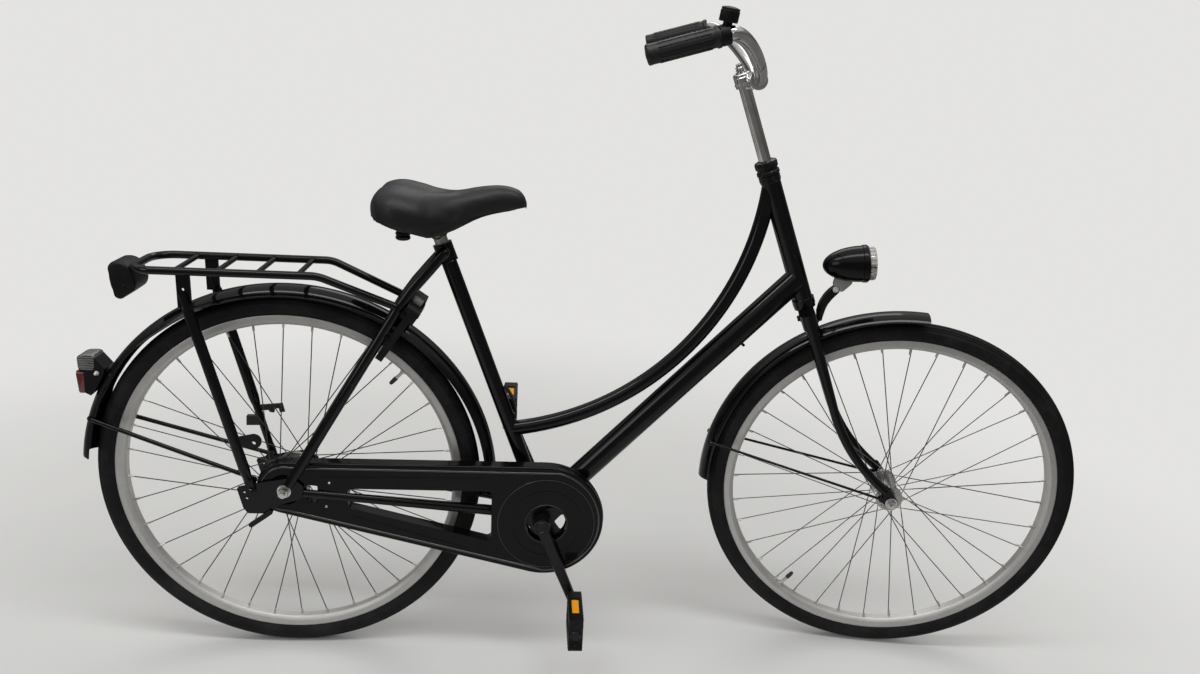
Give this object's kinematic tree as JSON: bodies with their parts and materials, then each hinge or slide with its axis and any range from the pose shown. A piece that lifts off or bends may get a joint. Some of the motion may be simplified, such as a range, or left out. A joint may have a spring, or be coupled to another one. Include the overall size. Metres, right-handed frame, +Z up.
{
  "type": "city bicycle",
  "caption": "Upright low-step city bicycle with curved top tube, full chain case, mudguards, rear carrier, upright bar and wide saddle; wheels, steering, cranks and pedals turn.",
  "frame": {"origin": "the rider's sitting point on the saddle top, on the bicycle's middle plane, with the bicycle upright on level ground", "axes": "+X forward, +Y to the rider's left, +Z up; the steering rests a little to the right of straight ahead"},
  "size_m": [1.8613, 0.5798, 1.2143],
  "materials": {
    "enamel": "gloss black stove enamel",
    "case_plastic": "satin black moulded plastic",
    "tyre": "matte rubber",
    "rim": "brushed",
    "hub_metal": "dull plated",
    "plated_steel": "zinc plated",
    "black_steel": "satin black",
    "chrome": "polished",
    "seat_post_metal": "plain",
    "grip_rubber": "matte",
    "black_plastic": "satin",
    "amber": "clear amber",
    "grey_plastic": "satin",
    "red_lens": "clear dark red",
    "clear_lens": "clear ribbed",
    "saddle_vinyl": "fine grained vinyl"
  },
  "bodies": {
    "frame": {"head_tube": "enamel", "down_tube": "enamel", "top_tube": "enamel", "seat_tube": "enamel", "seat_tube_clip": "black_plastic", "bottom_bracket": "enamel", "chain_stays": "enamel", "seat_stays": "enamel", "dropouts": "enamel", "rear_axle": "plated_steel", "brake_arm": "plated_steel", "chain_case": "case_plastic", "rear_mudguard": "enamel", "rear_mudguard_stays": "enamel", "carrier": "enamel", "carrier_legs": "enamel", "strap_bracket": "grey_plastic", "carrier_reflector": "black_plastic", "tail_lamp": "black_plastic", "tail_lamp_lens": "red_lens", "ring_lock": "black_plastic", "seat_post": "seat_post_metal", "saddle_cover": "saddle_vinyl", "saddle_frame": "black_steel"},
    "rear_wheel": {"rear_tyre": "tyre", "rear_rim": "rim", "rear_hub": "hub_metal"},
    "steering": {"fork": "enamel", "front_axle": "plated_steel", "headset_nut": "black_steel", "stem": "chrome", "handlebar": "chrome", "grips": "grip_rubber", "bell": "black_plastic", "headlamp": "black_plastic", "headlamp_ring": "black_plastic", "headlamp_lens": "clear_lens", "headlamp_bracket": "enamel", "front_mudguard": "enamel", "front_mudguard_stays": "enamel"},
    "front_wheel": {"front_tyre": "tyre", "front_rim": "rim", "front_hub": "hub_metal"},
    "crankset": {"crank_spindle": "plated_steel", "crank_right": "black_steel", "crank_left": "black_steel", "chainwheel": "black_steel", "pedal_axle_right": "plated_steel", "pedal_axle_left": "plated_steel"},
    "pedal_right": {"pedal_right": "black_plastic", "pedal_reflectors_right": "amber"},
    "pedal_left": {"pedal_left": "black_plastic", "pedal_reflectors_left": "amber"}
  },
  "joints": [
    {"name": "steering_turn", "type": "hinge", "parent": "frame", "child": "steering", "pos_m": [0.85141, 0, -0.57106], "axis": [-0.3665, 0, 0.9304], "range_deg": [-65, 85]},
    {"name": "front_wheel_spin", "type": "hinge", "parent": "steering", "child": "front_wheel", "pos_m": [0.90364, -0.0099, -0.55049], "axis": [0.1616, 0.9848, 0.0636], "continuous": true},
    {"name": "rear_wheel_spin", "type": "hinge", "parent": "frame", "child": "rear_wheel", "pos_m": [-0.23956, 0, -0.55017], "axis": [0, 1, 0], "continuous": true},
    {"name": "crank_spin", "type": "hinge", "parent": "frame", "child": "crankset", "pos_m": [0.22861, 0, -0.61017], "axis": [0, 1, 0], "continuous": true},
    {"name": "pedal_right_spin", "type": "hinge", "parent": "crankset", "child": "pedal_right", "pos_m": [0.29558, -0.131, -0.77185], "axis": [0, 1, 0], "continuous": true},
    {"name": "pedal_left_spin", "type": "hinge", "parent": "crankset", "child": "pedal_left", "pos_m": [0.16164, 0.131, -0.44849], "axis": [0, 1, 0], "continuous": true}
  ]
}
